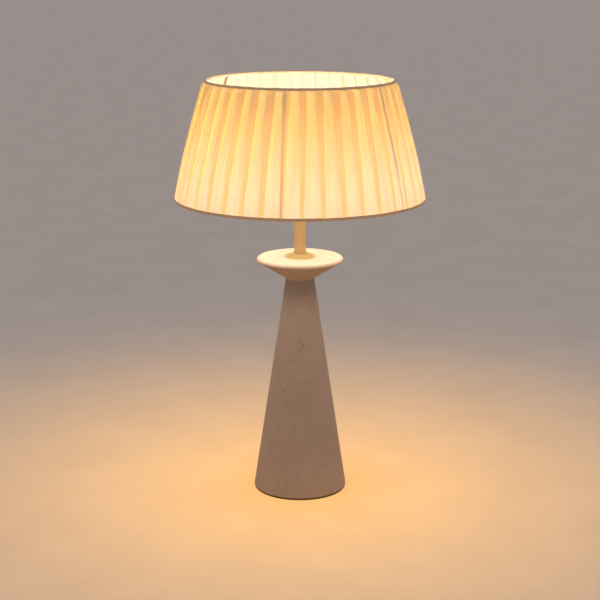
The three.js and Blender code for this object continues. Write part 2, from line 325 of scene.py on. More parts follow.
# Geometry Nodes: one shape, repeated round the Z axis
def ringTree():
    tree = bpy.data.node_groups.new("repeatRoundAxis", "GeometryNodeTree")
    face = tree.interface
    face.new_socket("Shape", in_out="INPUT", socket_type="NodeSocketGeometry")
    for name in ("Count", "Seed"):
        face.new_socket(name, in_out="INPUT", socket_type="NodeSocketInt")
    for name in ("First Angle", "Step", "Wobble", "Stretch"):
        face.new_socket(name, in_out="INPUT", socket_type="NodeSocketFloat")
    face.new_socket("Finish", in_out="INPUT", socket_type="NodeSocketMaterial")
    face.new_socket("Ring", in_out="OUTPUT", socket_type="NodeSocketGeometry")
    given = tree.nodes.new("NodeGroupInput").outputs
    points = addNode(tree, "GeometryNodePoints", sockets={"Count": given["Count"]})
    index = addNode(tree, "GeometryNodeInputIndex").outputs[0]
    turn = timesPlus(tree, index, given["Step"], given["First Angle"])
    rotation = addNode(tree, "ShaderNodeCombineXYZ", sockets={"Z": turn})
    copies = addNode(tree, "GeometryNodeInstanceOnPoints", sockets={
        "Points": points.outputs[0], "Instance": given["Shape"], "Rotation": rotation.outputs[0]})
    named = addNode(tree, "GeometryNodeStoreNamedAttribute", {"data_type": "FLOAT", "domain": "INSTANCE"},
                    {"Geometry": copies.outputs[0], "Name": "copy", "Value": index})
    real = addNode(tree, "GeometryNodeRealizeInstances", sockets={"Geometry": named.outputs[0]})
    where = addNode(tree, "GeometryNodeInputPosition").outputs[0]
    uneven = addNode(tree, "ShaderNodeTexNoise", {"noise_dimensions": "4D"}, {
        "Vector": where, "W": given["Seed"], "Scale": 26.0, "Detail": 1.0})
    centred = calculate(tree, "SUBTRACT", uneven.outputs["Fac"], 0.5)
    # points marked by the stretch attribute move by their own amount in each copy
    marked = addNode(tree, "GeometryNodeInputNamedAttribute", {"data_type": "FLOAT"}, {"Name": "stretch"})
    copyNumber = addNode(tree, "GeometryNodeInputNamedAttribute", {"data_type": "FLOAT"}, {"Name": "copy"})
    chance = addNode(tree, "FunctionNodeRandomValue", {"data_type": "FLOAT"}, {
        "ID": copyNumber.outputs[0], "Seed": given["Seed"]})
    own = times(tree, calculate(tree, "SUBTRACT", chance.outputs[1], 0.5), given["Stretch"])
    own = times(tree, own, marked.outputs[0])
    angle = timesPlus(tree, centred, given["Wobble"], own)
    swung = addNode(tree, "ShaderNodeVectorRotate", sockets={"Vector": where, "Angle": angle})
    moved = addNode(tree, "GeometryNodeSetPosition", sockets={
        "Geometry": real.outputs[0], "Position": swung.outputs[0]})
    joined = addNode(tree, "GeometryNodeMergeByDistance", sockets={
        "Geometry": moved.outputs[0], "Distance": 0.00002})
    finished = addNode(tree, "GeometryNodeSetMaterial", sockets={
        "Geometry": joined.outputs[0], "Material": given["Finish"]})
    output = tree.nodes.new("NodeGroupOutput")
    tree.links.new(finished.outputs[0], output.inputs["Ring"])
    return tree


repeatRoundAxis = ringTree()


def repeated(name, shape, count, material, firstAngle=0.0, wobble=0.0, stretch=0.0, seed=1):
    # shape is an object holding one copy; it is used up
    modifier = shape.modifiers.new("repeat", "NODES")
    modifier.node_group = repeatRoundAxis
    values = {"Count": count, "First Angle": math.radians(firstAngle),
              "Step": 2 * math.pi / count, "Wobble": math.radians(wobble),
              "Stretch": math.radians(stretch), "Seed": seed, "Finish": material}
    for item in repeatRoundAxis.interface.items_tree:
        if item.in_out == "INPUT" and item.name in values:
            modifier[item.identifier] = values[item.name]
    bpy.context.view_layer.update()
    evaluated = shape.evaluated_get(bpy.context.evaluated_depsgraph_get())
    mesh = bpy.data.meshes.new_from_object(evaluated)
    mesh.name = name
    shape.modifiers.remove(modifier)
    bpy.data.objects.remove(shape)
    return link(name, mesh, material)


studioSettings = {
    "floorRadius": 40.0,
    "floorDrop": 0.0001,
    "floorColor": (0.64, 0.53, 0.44),
    "zenith": (0.62, 0.64, 0.71),
    "horizon": (0.19, 0.19, 0.21),
    # light thrown down from inside the shade: watts, width, height, color
    "onFloor": (9.6, 0.09, 0.4528, (1.0, 0.55, 0.04)),
    "onBase": (0.72, 0.26, 0.372, (1.0, 0.86, 0.66)),
}


def floorMaterial(values):
    material, tree = newMaterial("studioFloor")
    place3d = objectCoordinates(tree)
    cloud = addNoise(tree, place3d, 9.0, 5.0, 0.6)
    base = values["floorColor"]
    color = addRamp(tree, cloud, [(0.3, scaled(base, 0.96)), (0.7, scaled(base, 1.04))])
    grain = addNoise(tree, place3d, 420.0, 3.0)
    normal = addBump(tree, grain, 0.25, 0.0006)
    addSurface(tree, color, normal, 0.85)
    return material


def addStudio(values):
    floor = turned("floor", [(0, 0), (values["floorRadius"] / mm, 0)], 96, floorMaterial(values),
                   closed=False)
    floor.location.z = -values["floorDrop"]
    world = bpy.data.worlds.new("studio")
    bpy.context.scene.world = world
    world.use_nodes = True
    tree = world.node_tree
    direction = addNode(tree, "ShaderNodeTexCoord").outputs["Generated"]
    height = separated(tree, direction)["Z"]
    sky = addRamp(tree, height, [(0.0, values["horizon"]), (1.0, values["zenith"])])
    tree.links.new(sky, tree.nodes["Background"].inputs["Color"])
    return floor


def grouped(name, items):
    group = bpy.data.collections.new(name)
    for item in items:
        group.objects.link(item)
    return group


def addSoftLight(name, kind, settings, receivers, blockers=()):
    # light that falls on the receivers only; when blockers are given, nothing else shades it
    power, width, height, color = settings
    data = bpy.data.lights.new(name, kind)
    if kind == "AREA":
        data.shape = "DISK"
        data.size = width
    else:
        data.shadow_soft_size = width / 2
    data.energy = power
    data.color = color
    light = bpy.data.objects.new(name, data)
    light.location = (0, 0, height)
    light.visible_camera = False
    bpy.context.scene.collection.objects.link(light)
    light.light_linking.receiver_collection = grouped(name + "Receivers", receivers)
    if blockers:
        light.light_linking.blocker_collection = grouped(name + "Blockers", blockers)


studioFloor = addStudio(studioSettings)
bpy.context.scene.view_settings.view_transform = "Standard"
print("studio ready")


# the cement base
cementSettings = {
    "segments": 300,
    "rowStep": 1.35,       # millimetres between rows
    "foot": 58.6,          # radius of the cone at the floor
    "slope": 0.1557,       # radius lost for each millimetre of height
    "neck": (17.1, 266.6),
    "rim": (52.65, 4.3),
    "pocket": (34.0, 24.0),
    "channel": (5.3, 30.0),    # radius, and where it starts behind the axis
    "recess": (7.3, 55.0),
    "unevenness": 0.12,
    "seed": 4,
    "pitCount": 90,
    "pitRadius": (0.35, 0.95),
    # degrees round from the front, height, radius
    "frontPits": [(-2.4, 193.0, 1.5), (7.9, 188.0, 1.5), (1.8, 171.0, 1.1), (-15.6, 234.0, 0.9),
                  (15.4, 216.0, 1.0), (46.9, 158.0, 1.2), (-30.8, 133.0, 1.3)],
    "color": (0.362, 0.265, 0.203),
    "light": (0.465, 0.345, 0.268),
    "dark": (0.243, 0.170, 0.122),
}


def cementMaterial(values):
    material, tree = newMaterial("sandyCement")
    place3d = objectCoordinates(tree)
    cloud = addNoise(tree, place3d, 22.0, 5.0, 0.6)
    sand = addNoise(tree, place3d, 620.0, 2.0, 0.7)
    speck = addNoise(tree, place3d, 1500.0, 1.0, 0.5)
    base = addRamp(tree, cloud, [(0.28, values["color"]), (0.72, values["light"])])
    grains = addRamp(tree, sand, [(0.34, values["dark"]), (0.5, values["color"]), (0.68, values["light"])])
    color = mixColors(tree, 0.45, base, grains)
    bright = addRamp(tree, speck, [(0.60, (0, 0, 0)), (0.72, (1, 1, 1))])
    color = mixColors(tree, times(tree, bright, 0.35), color, (0.66, 0.57, 0.48))
    cells = addNode(tree, "ShaderNodeTexVoronoi", {"feature": "F1"}, {
        "Vector": place3d, "Scale": 230.0, "Randomness": 1.0})
    patchy = addRamp(tree, addNoise(tree, place3d, 60.0, 2.0), [(0.50, (0, 0, 0)), (0.66, (1, 1, 1))])
    hole = addRamp(tree, cells.outputs["Distance"], [(0.10, (1, 1, 1)), (0.22, (0, 0, 0))])
    hole = times(tree, hole, patchy)
    # painted shade: the pinholes are darkened, as well as sunk by the bump below
    color = mixColors(tree, times(tree, hole, 0.45), color, (0.15, 0.11, 0.085))
    # painted shade: the air pits are darkened where shade falls in them
    color = mixColors(tree, attributeValue(tree, "paintedPitShade"), color, (0.11, 0.082, 0.062))
    normal = addBump(tree, sand, 0.5, 0.0005)
    normal = addBump(tree, calculate(tree, "SUBTRACT", 1.0, hole), 0.6, 0.0006, normal)
    addSurface(tree, color, normal, 0.92)
    return material


def cementOutline(values):
    low, high = boxMm("cement_body")
    bore = boxMm("tie_tube")[1][0] + 0.3
    rimRadius, rimHeight = values["rim"]
    pocketRadius, pocketTop = values["pocket"]
    cone = [(pocketRadius, low[2]), (high[0] - 0.9, low[2]), values["neck"],
            (rimRadius, high[2] - rimHeight), (rimRadius, high[2] - rimHeight + 0.6)]
    lip = arcPoints((rimRadius - rimHeight + 0.6, high[2] - rimHeight + 0.6), rimHeight - 0.6, 8, 90, 8)
    outside = rounded(cone, 1.4, 4, closed=False) + lip + [(bore, high[2])]
    outside = divided(outside, values["rowStep"], closed=False)
    return outside + [(bore, pocketTop), (pocketRadius, pocketTop)]


def coneRadius(values, height):
    return values["foot"] - values["slope"] * height


def cementPits(values):
    rng = np.random.default_rng(values["seed"])
    pits = list(values["frontPits"])
    small, large = values["pitRadius"]
    for _ in range(values["pitCount"]):
        share = rng.random() ** 1.4
        pits.append((rng.uniform(0, 360), rng.uniform(8, 255), small + (large - small) * share))
    return pits


def swingBack(item, height):
    # a shape turned about Z is swung down so that its top points backwards, at that height
    points = readVectors(item.data, "co")
    swung = np.stack([points[:, 0], points[:, 2], height * mm - points[:, 1]], axis=1)
    item.data.vertices.foreach_set("co", swung.ravel())
    item.data.update()
    return item


def cutAway(item, cutter):
    modifier = item.modifiers.new("cut", "BOOLEAN")
    modifier.operation = "DIFFERENCE"
    modifier.solver = "EXACT"
    modifier.object = cutter
    bpy.context.view_layer.update()
    mesh = bpy.data.meshes.new_from_object(item.evaluated_get(bpy.context.evaluated_depsgraph_get()))
    item.modifiers.remove(modifier)
    bpy.data.objects.remove(cutter)
    item.data = mesh


def inletCutter(values):
    low, high = boxMm("inlet_grommet")
    channelRadius, start = values["channel"]
    recessRadius, step = values["recess"]
    outline = [(0, start), (channelRadius, start), (channelRadius, step), (recessRadius, step),
               (recessRadius, values["foot"] + 4), (0, values["foot"] + 4)]
    cutter = turned("inletCutter", outline, 48, None, closed=False)
    return swingBack(cutter, (low[2] + high[2]) / 2)


def readVectors(mesh, what):
    values = np.empty(len(mesh.vertices) * 3)
    mesh.vertices.foreach_get(what, values)
    return values.reshape(-1, 3)


def makeCement(values):
    # the side of the cone is divided finely enough to carry real air pits
    material = cementMaterial(values)
    body = turned("cementBase", cementOutline(values), values["segments"], material, angle=50)
    cutAway(body, inletCutter(values))
    mesh = body.data
    points = readVectors(mesh, "co") / mm
    normals = readVectors(mesh, "normal")
    height = points[:, 2]
    outer = np.hypot(points[:, 0], points[:, 1]) > coneRadius(values, height) - 1.5
    outer &= (height > 4) & (height < 264) & (normals[:, 2] < 0.5)
    depth = np.zeros(len(points))
    # shade holds the painted shade for the pits, darkest at their middle
    shade = np.zeros(len(points))
    for angle, pitHeight, radius in cementPits(values):
        a = math.radians(angle)
        r = coneRadius(values, pitHeight)
        centre = np.array((r * math.sin(a), -r * math.cos(a), pitHeight))
        away = np.linalg.norm(points - centre, axis=1) / radius
        bowl = np.clip(1.15 - away, 0, 1) * outer
        depth = np.maximum(depth, bowl * radius * 0.9)
        shade = np.maximum(shade, np.clip(bowl * 1.3, 0, 1) * 0.8)
    # the casting is a little uneven, by slow waves round it and up it
    round3d = np.arctan2(points[:, 0], -points[:, 1])
    waves = np.sin(3 * round3d + height * 0.021) + np.sin(5 * round3d - height * 0.034 + 1.1)
    depth += (waves + 2) * 0.25 * values["unevenness"] * outer
    points -= normals * depth[:, None]
    mesh.vertices.foreach_set("co", (points * mm).ravel())
    mesh.attributes.new("paintedPitShade", "FLOAT", "POINT").data.foreach_set("value", shade)
    mesh.update()
    return place(body, "base", "cement", "cement_body")


cement = makeCement(cementSettings)
print("cement base made")


# felt under the base, and the cable inlet at the back
padSettings = {
    "edge": 0.35,
    "color": (0.045, 0.034, 0.027),
    "fluff": (0.085, 0.066, 0.052),
}

inletSettings = {
    "segments": 64,
    "bore": 3.0,
    "lip": 0.6,
    "color": (0.012, 0.012, 0.013),
}


def feltMaterial(values):
    material, tree = newMaterial("darkFelt")
    place3d = objectCoordinates(tree)
    fibres = addNoise(tree, place3d, 900.0, 4.0, 0.7, stretch=(1.0, 0.25, 1.0))
    crossed = addNoise(tree, place3d, 700.0, 4.0, 0.7, stretch=(0.25, 1.0, 1.0))
    mixed = times(tree, calculate(tree, "ADD", fibres, crossed), 0.5)
    color = addRamp(tree, mixed, [(0.38, values["color"]), (0.62, values["fluff"])])
    normal = addBump(tree, mixed, 0.6, 0.0004)
    addSurface(tree, color, normal, 0.95, **{"Sheen Weight": 0.3})
    return material


def makePad(values):
    reach, low, high = reachOf("base_pad")
    outline = rounded([(0, low), (reach, low), (reach, high), (0, high)], values["edge"], 4, closed=False)
    pad = turned("basePad", divided(outline, 6.0, closed=False), 160, feltMaterial(values), closed=False)
    return place(pad, "base", "felt", "base_pad")


def plasticMaterial(name, color, roughness, grainSize=900.0):
    tones = [(0.3, color), (0.7, tuple(min(1, c * 1.18 + 0.004) for c in color))]
    return cloudyMaterial(name, (60.0, 3.0), tones, (0.12, roughness - 0.06), (grainSize, 2.0),
                          (0.15, 0.0002))


def makeInlet(values, material):
    low, high = boxMm("inlet_grommet")
    flange = (high[0] - low[0]) / 2
    body, back, front = 5.0, high[1], low[1]
    outline = rounded([
        (values["bore"], front), (body, front), (body, back - 1.9), (flange, back - 1.9),
        (flange, back - values["lip"]), (flange - 1.2, back), (values["bore"], back)], 0.4, 3)
    inlet = turned("inletGrommet", outline, values["segments"], material)
    swingBack(inlet, (low[2] + high[2]) / 2)
    return place(inlet, "base", "black_plastic", "inlet_grommet")


makePad(padSettings)
blackPlastic = plasticMaterial("blackPlastic", inletSettings["color"], 0.42)
makeInlet(inletSettings, blackPlastic)
print("pad and inlet made")


# the wire frame: ribs, spider arms and fitter ring, with their welds
wireSettings = {
    "ribs": 6,
    "ribRadius": 1.2,
    "ribFoot": 146.4,      # distance of a rib's foot from the axis
    "firstAngle": -8.2,
    "arms": 3,
    "armRadius": 1.8,
    "armInset": (0.3, 2.5),    # from the fitter ring, and from the centre of the lower ring
    "sides": 14,
    "weld": 0.33,          # how far a rib's weld stands proud of the wire
    "armWeld": 0.22,
    "color": (0.74, 0.71, 0.66),
    "fitterBore": 20.3,
    "fitterRadius": 25.0,
}

# the knife-pleated cover: one strip of cloth, folded back on itself once a pleat
coverSettings = {
    "pleats": 40,
    "stripPerPleat": 33.0,        # width of the cloth in one pleat, in millimetres
    "wire": 1.5,
    "lower": (148.5, 365.7),      # centre line of the lower ring: radius and height
    "upper": (111.5, 504.3),
    "bulge": 0.9,
    "layerGap": 0.92,             # distance between the layers of a fold, halfway up
    "rimGap": 0.12,               # and where they are sewn to the rings
    "rows": 46,
    "wobble": 1.1,                # degrees, as the next one
    "stretch": 0.9,
    "seed": 5,
    "ruffle": 0.35,
    "rimTurn": 0.3,               # how far the cloth goes past the centre of each ring
    "cloth": (0.97, 0.93, 0.87),
    "through": (0.91, 0.67, 0.17),
    "throughShadedTop": (0.86, 0.77, 0.55),    # painted shade: what is left of it near the upper rim
    "throughShare": 0.52,
    "foldPaintedShade": 0.24,              # painted shade: how much the cloth darkens towards the next fold, at the top
    "cutWidth": 0.145,            # metres, from rim to rim with both edges turned over
    # painted glow in the cloth, standing in for the lamp light through it, from the lower rim to the upper
    # one
    "glowSingle": [(0.0, (0.29, 0.22, 0.19)), (0.18, (0.31, 0.24, 0.21)), (0.45, (0.13, 0.09, 0.09)),
                   (0.68, (0.02, 0.01, 0.0)), (0.88, (0.0, 0.0, 0.0))],
    "glowFolded": [(0.0, (0.33, 0.22, 0.08)), (0.18, (0.33, 0.22, 0.08)), (0.45, (0.36, 0.23, 0.08)),
                   (0.68, (0.34, 0.21, 0.04)), (0.88, (0.22, 0.15, 0.0))],
    "weave": 0.42,                # millimetres from thread to thread
    # a painted rib shadow on the cloth: its width, its strength and its color
    "ribWidth": 1.15,
    "ribShade": 0.3,
    "ribShadowColor": (0.30, 0.20, 0.13),
}


def coverRadius(values, height):
    # the inmost layer: outside the two wires, and straight between them but for a small bulge
    lowRadius, lowHeight = values["lower"]
    topRadius, topHeight = values["upper"]
    clear = values["wire"] + 0.15
    if height < lowHeight:
        return lowRadius + math.sqrt(max(clear ** 2 - (lowHeight - height) ** 2, 0))
    if height > topHeight:
        return topRadius + math.sqrt(max(clear ** 2 - (height - topHeight) ** 2, 0))
    share = (height - lowHeight) / (topHeight - lowHeight)
    straight = lowRadius + (topRadius - lowRadius) * share + clear
    return straight + 4 * values["bulge"] * share * (1 - share)


def layerDistance(values, share):
    # the fold opens slowly above the lower rim and quickly below the upper one
    above = max(0.0, min(1.0, (share - 0.022) / 0.32))
    below = max(0.0, min(1.0, (0.980 - share) / 0.03))
    opening = above ** 0.7 * below ** 0.6
    return values["rimGap"] + (values["layerGap"] - values["rimGap"]) * opening


def pleatColumns():
    # share of the pitch, share of the overlap, layers above the inmost, cloth layers here
    columns = [(0, t, 0, 3) for t in (0, 0.3, 0.65, 0.94)]
    singles = (0.0, 0.06, 0.18, 0.34, 0.5, 0.66, 0.8, 0.9, 0.97)
    columns += [(t, 1 - t, 2 * t * t * (3 - 2 * t), 1) for t in singles]
    columns += [(1, t, 2, 3) for t in (0.02, 0.3, 0.65, 1)]
    columns += [(1, 1 + 0.06 * math.sin(a), 1.5 + 0.5 * math.cos(a), 3)
                for a in (math.pi * k / 4 for k in range(1, 5))]
    columns += [(1, t, 1, 3) for t in (0.65, 0.3, 0)]
    columns += [(1, -0.06 * math.sin(a), 0.5 + 0.5 * math.cos(a), 3)
                for a in (math.pi * k / 3 for k in range(1, 4))]
    return columns


def onePleat(values):
    mesh = bmesh.new()
    names = ("layers", "stretch", "share", "near")
    layersLayer, stretchLayer, shareLayer, nearLayer = [mesh.verts.layers.float.new(name) for name in names]
    uvLayer = mesh.loops.layers.uv.new("cloth")
    pitch = 2 * math.pi / values["pleats"]
    columns = pleatColumns()
    bottom, top = values["lower"][1] - values["rimTurn"], values["upper"][1] + values["rimTurn"]
    grid = []
    along = {}
    for j in range(values["rows"] + 1):
        t = j / values["rows"]
        share = 0.4 * t + 0.6 * (0.5 - 0.5 * math.cos(math.pi * t))
        height = bottom + (top - bottom) * share
        inner = coverRadius(values, height)
        arc = inner * pitch
        overlap = (values["stripPerPleat"] - arc) / 2
        apart = layerDistance(values, share)
        ruffle = values["ruffle"] * math.sin(math.pi * share)
        row = []
        width = 0.0
        last = None
        for full, part, lift, layers in columns:
            x = full * arc + part * overlap
            r = inner + lift * apart
            if layers == 1:
                r += ruffle * math.sin(math.pi * full)
            if last is not None:
                width += math.hypot(x - last[0], r - last[1])
            last = (x, r)
            a = x / inner
            vertex = mesh.verts.new((r * math.sin(a) * mm, -r * math.cos(a) * mm, height * mm))
            vertex[layersLayer] = layers
            vertex[stretchLayer] = max(0.0, part) if full == 1 else 0.0
            vertex[shareLayer] = share
            # near: share of the pitch across a single layer, which sets the painted fold shade
            vertex[nearLayer] = full if layers == 1 else 0.0
            along[vertex] = (width * mm, (height - bottom) * mm)
            row.append(vertex)
        grid.append(row)
    for low, high in zip(grid, grid[1:]):
        for i in range(len(low) - 1):
            face = mesh.faces.new((low[i], low[i + 1], high[i + 1], high[i]))
            for loop in face.loops:
                loop[uvLayer].uv = along[loop.vert]
    data = bpy.data.meshes.new("onePleat")
    mesh.to_mesh(data)
    mesh.free()
    data.polygons.foreach_set("use_smooth", [True] * len(data.polygons))
    return link("onePleat", data, None)


def ribShadow(tree, values, wire):
    # painted rib shadow: 1 on the cloth that lies on a rib, 0 elsewhere
    place3d = separated(tree, objectCoordinates(tree))
    side = place3d["X"]
    front = times(tree, place3d["Y"], -1.0)
    angle = calculate(tree, "ARCTAN2", side, front)
    angle = calculate(tree, "SUBTRACT", angle, math.radians(wire["firstAngle"]))
    off = calculate(tree, "PINGPONG", angle, math.pi / wire["ribs"])
    squares = timesPlus(tree, front, front, times(tree, side, side))
    away = times(tree, off, calculate(tree, "SQRT", squares))
    away = calculate(tree, "DIVIDE", away, values["ribWidth"] * mm)
    return calculate(tree, "EXPONENT", times(tree, times(tree, away, away), -1.0))


def clothThrough(tree, values, share, streak, shadow):
    # the color that the light takes on its way through
    through = values["through"]
    color = addRamp(tree, streak, [(0.34, scaled(through, 0.93, 0.87, 0.78)), (0.66, through)])
    upper = addRamp(tree, share, [(0.35, (1.0,) * 3), (0.9, values["throughShadedTop"])])
    color = mixColors(tree, 1.0, color, upper, "MULTIPLY")
    # painted shade towards the next fold, stronger higher up
    nearFold = times(tree, attributeValue(tree, "near"), share)
    foldShade = timesPlus(tree, nearFold, -values["foldPaintedShade"], 1.0)
    color = mixColors(tree, 1.0, color, foldShade, "MULTIPLY")
    return mixColors(tree, times(tree, shadow, values["ribShade"]), color, values["ribShadowColor"])


def clothGlow(tree, values, share, streak, shadow):
    # painted glow: emission stands in for the lamp light through the cloth, more in the lower half, and more
    # orange where three layers lie together; the painted rib shadow dims it
    folded = times(tree, calculate(tree, "SUBTRACT", attributeValue(tree, "layers"), 1.0), 0.5)
    single = addRamp(tree, share, values["glowSingle"])
    glow = mixColors(tree, folded, single, addRamp(tree, share, values["glowFolded"]))
    strength = times(tree, timesPlus(tree, shadow, -0.45, 1.0),
                     timesPlus(tree, streak, 0.35, 0.82))
    return addNode(tree, "ShaderNodeEmission", sockets={"Color": glow, "Strength": strength})


def clothMaterial(values, wire):
    material, tree = newMaterial("pleatedCloth")
    uv = addNode(tree, "ShaderNodeUVMap", {"uv_map": "cloth"}).outputs["UV"]
    # each pleat is a different stretch of the same strip
    copy = attributeValue(tree, "copy")
    shift = addNode(tree, "ShaderNodeCombineXYZ", sockets={"X": times(tree, copy, 0.37)})
    shifted = addNode(tree, "ShaderNodeVectorMath", {"operation": "ADD"}, {0: uv, 1: shift.outputs[0]})
    slub = addNoise(tree, shifted.outputs[0], 160.0, 3.0, 0.6, stretch=(3.2, 0.12, 1.0))
    streak = addNoise(tree, shifted.outputs[0], 55.0, 2.0, 0.5, stretch=(2.0, 0.10, 1.0))
    along = separated(tree, uv)
    frequency = 2 * math.pi / (values["weave"] * mm)
    warp, weft = (calculate(tree, "SINE", times(tree, along[axis], frequency)) for axis in "XY")
    normal = addBump(tree, times(tree, warp, weft), 0.22, 0.00006)
    normal = addBump(tree, slub, 0.25, 0.00025, normal)
    shadow = ribShadow(tree, values, wire)
    share = attributeValue(tree, "share")
    cloth = values["cloth"]
    outside = addRamp(tree, slub, [(0.36, scaled(cloth, 0.96, 0.93, 0.88)), (0.62, cloth)])
    inside = clothThrough(tree, values, share, streak, shadow)
    front = addNode(tree, "ShaderNodeBsdfDiffuse", sockets={"Color": outside, "Normal": normal})
    back = addNode(tree, "ShaderNodeBsdfTranslucent", sockets={"Color": inside, "Normal": normal})
    both = addNode(tree, "ShaderNodeMixShader", sockets={
        "Fac": values["throughShare"], 1: front.outputs[0], 2: back.outputs[0]})
    light = clothGlow(tree, values, share, streak, shadow)
    total = addNode(tree, "ShaderNodeAddShader", sockets={0: both.outputs[0], 1: light.outputs[0]})
    finishWith(tree, total.outputs[0])
    material.cycles.emission_sampling = "NONE"
    return material


def makeCover(values, wire):
    pleat = onePleat(values)
    cover = repeated("pleatedCover", pleat, values["pleats"], clothMaterial(values, wire),
                     wobble=values["wobble"], stretch=values["stretch"], seed=values["seed"])
    return place(cover, "shade", "pleated_cloth", "pleated_cover")


cover = makeCover(coverSettings, wireSettings)
print("pleated cover made,", len(cover.data.polygons), "faces")


# rolled hems over both rings
hemSettings = {
    "segments": 480,
    "arcSteps": 14,
    "thick": 0.25,
    "clear": 0.1,            # from the cloth under the outer leg
    "step": 0.10,            # height of the folds that show through, and their width in pitches
    "stepWidth": 0.13,
    "wave": 0.05,
    "lowerRadius": 2.2,
    "lowerLeg": 1.6,
    "upperRadius": 1.95,
    "upperLeg": 0.7,
    "innerLeg": 1.0,
    "cutWidth": 0.010,       # metres
    # the tape is the cover's cream cloth; its tan and its thread tone are painted shade and warm lamp light
    "color": (0.66, 0.43, 0.23),
    "thread": (0.77, 0.55, 0.33),
}


def hemMaterial(values):
    material, tree = newMaterial("hemTapeLitAndShaded")
    place3d = objectCoordinates(tree)
    weave = addNoise(tree, place3d, 2400.0, 2.0, 0.6)
    slub = addNoise(tree, place3d, 260.0, 3.0, 0.6)
    color, thread = values["color"], values["thread"]
    # painted shade and lamp light in the tan tones; the slubs and weave are the cloth's own
    tone = addRamp(tree, slub, [(0.32, color), (0.68, thread)])
    color = mixColors(tree, 0.25, tone, addRamp(tree, weave, [(0.3, color), (0.7, thread)]))
    normal = addBump(tree, weave, 0.5, 0.00012)
    addSurface(tree, color, normal, 0.9, **{"Sheen Weight": 0.15})
    return material


def hemOutline(values, cover, lower):
    # a folded tape: up the outside of the cloth, round the wire, and a short way up the inside
    ringRadius, ringHeight = ring = cover["lower"] if lower else cover["upper"]
    reach = values["lowerRadius"] if lower else values["upperRadius"]
    leg = values["lowerLeg"] if lower else -values["upperLeg"]
    innerLeg = values["innerLeg"] if lower else -values["innerLeg"]
    lean = (cover["upper"][0] - cover["lower"][0]) / (cover["upper"][1] - cover["lower"][1])
    outerEnd = ringRadius + reach + lean * leg + values["clear"]
    innerEnd = ringRadius - reach
    turn = -180 if lower else 180

    def fold(outer, radius, inner):
        arc = arcPoints(ring, radius, 0, turn, values["arcSteps"])
        return [(outer, ringHeight + leg)] + arc + [(inner, ringHeight + innerLeg)]

    thick = values["thick"]
    return fold(outerEnd, reach, innerEnd) + fold(outerEnd - thick, reach - thick, innerEnd + thick)[::-1]


def makeHem(name, values, cover, lower, node, material):
    pitch = 2 * math.pi / cover["pleats"]

    def overPleats(radius, height, angle):
        # the folds underneath show through as low steps
        phase = (angle / pitch) % 1.0
        step = values["step"] * math.exp(-((phase - 0.12) / values["stepWidth"]) ** 2)
        return radius + step, height + values["wave"] * math.sin(angle * 17)

    outline = hemOutline(values, cover, lower)
    hem = turned(name, outline, values["segments"], material, shift=overPleats, angle=60)
    return place(hem, "shade", "hem_cloth", node)


hemTapeLitAndShaded = hemMaterial(hemSettings)
lowerHem = makeHem("lowerHem", hemSettings, coverSettings, True, "shade_bottom_hem", hemTapeLitAndShaded)
upperHem = makeHem("upperHem", hemSettings, coverSettings, False, "shade_top_hem", hemTapeLitAndShaded)
print("hems made")


def paintMaterial(name, color, roughness, flakes=0.0):
    # sprayed paint: faint orange peel, a tone that drifts a little, and slightly worn gloss
    tones = [(0.3, scaled(color, 0.94, 0.91, 0.87)), (0.68, color)]
    return cloudyMaterial(name, (45.0, 4.0, 0.6), tones, (0.16, roughness - 0.08), (700.0, 2.0, 0.5),
                          (0.12, 0.00015), **{"Coat Weight": flakes, "Coat Roughness": 0.3})


def makeSpokes(name, values, count, start, end, radii, material):
    # one straight wire in front, from start to end as (radius, height); Geometry Nodes set the rest round
    steps = len(radii) - 1
    path = [(0, -(start[0] + (end[0] - start[0]) * k / steps), start[1] + (end[1] - start[1]) * k / steps)
            for k in range(steps + 1)]
    spoke = rod("oneSpoke", path, radii, values["sides"], None)
    return repeated(name, spoke, count, material, firstAngle=values["firstAngle"])


def makeRibs(values, cover, material):
    low, high = boxMm("shade_rib_1")
    radius = values["ribRadius"]
    start = values["ribFoot"], low[2] + radius * 0.25
    end = cover["upper"][0] + radius / 2, high[2] - radius * 0.25
    radii = [radius + values["weld"]] + [radius] * 11 + [radius + values["weld"]]
    ribs = makeSpokes("shadeRibs", values, values["ribs"], start, end, radii, material)
    place(ribs, "shade", "shade_wire", *(f"shade_rib_{k + 1}" for k in range(values["ribs"])))


def makeArms(values, cover, material):
    # each arm dips a little between the fitter ring and the lower ring
    radius = values["armRadius"]
    inset, outset = values["armInset"]
    start = values["fitterRadius"] + inset, boxMm("fitter_ring")[1][2] - radius
    end = cover["lower"][0] - outset, cover["lower"][1]
    radii = [radius + values["armWeld"]] + [radius] * 17 + [radius + values["armWeld"]]
    arms = makeSpokes("spiderArms", values, values["arms"], start, end, radii, material)
    place(arms, "shade", "shade_wire", *(f"spider_arm_{k + 1}" for k in range(values["arms"])))


def makeFitter(values, material):
    _, low, high = reachOf("fitter_ring")
    outline = rounded([(values["fitterBore"], low), (values["fitterRadius"], low),
                       (values["fitterRadius"], high), (values["fitterBore"], high)], 0.5, 3)
    return place(turned("fitterRing", outline, 96, material), "shade", "shade_wire", "fitter_ring")


whiteWire = paintMaterial("whiteWire", wireSettings["color"], 0.45)
makeRibs(wireSettings, coverSettings, whiteWire)
makeArms(wireSettings, coverSettings, whiteWire)
makeFitter(wireSettings, whiteWire)
print("shade frame made")


# painted stem and seat plate
stemSettings = {
    "segments": 120,
    "bore": 5.3,
    "edge": 0.45,
    "color": (0.77, 0.59, 0.28),
    # the seat plate has the stem's paint; this lighter copy is painted lamp light
    "plateLitColor": (0.90, 0.77, 0.37),
}


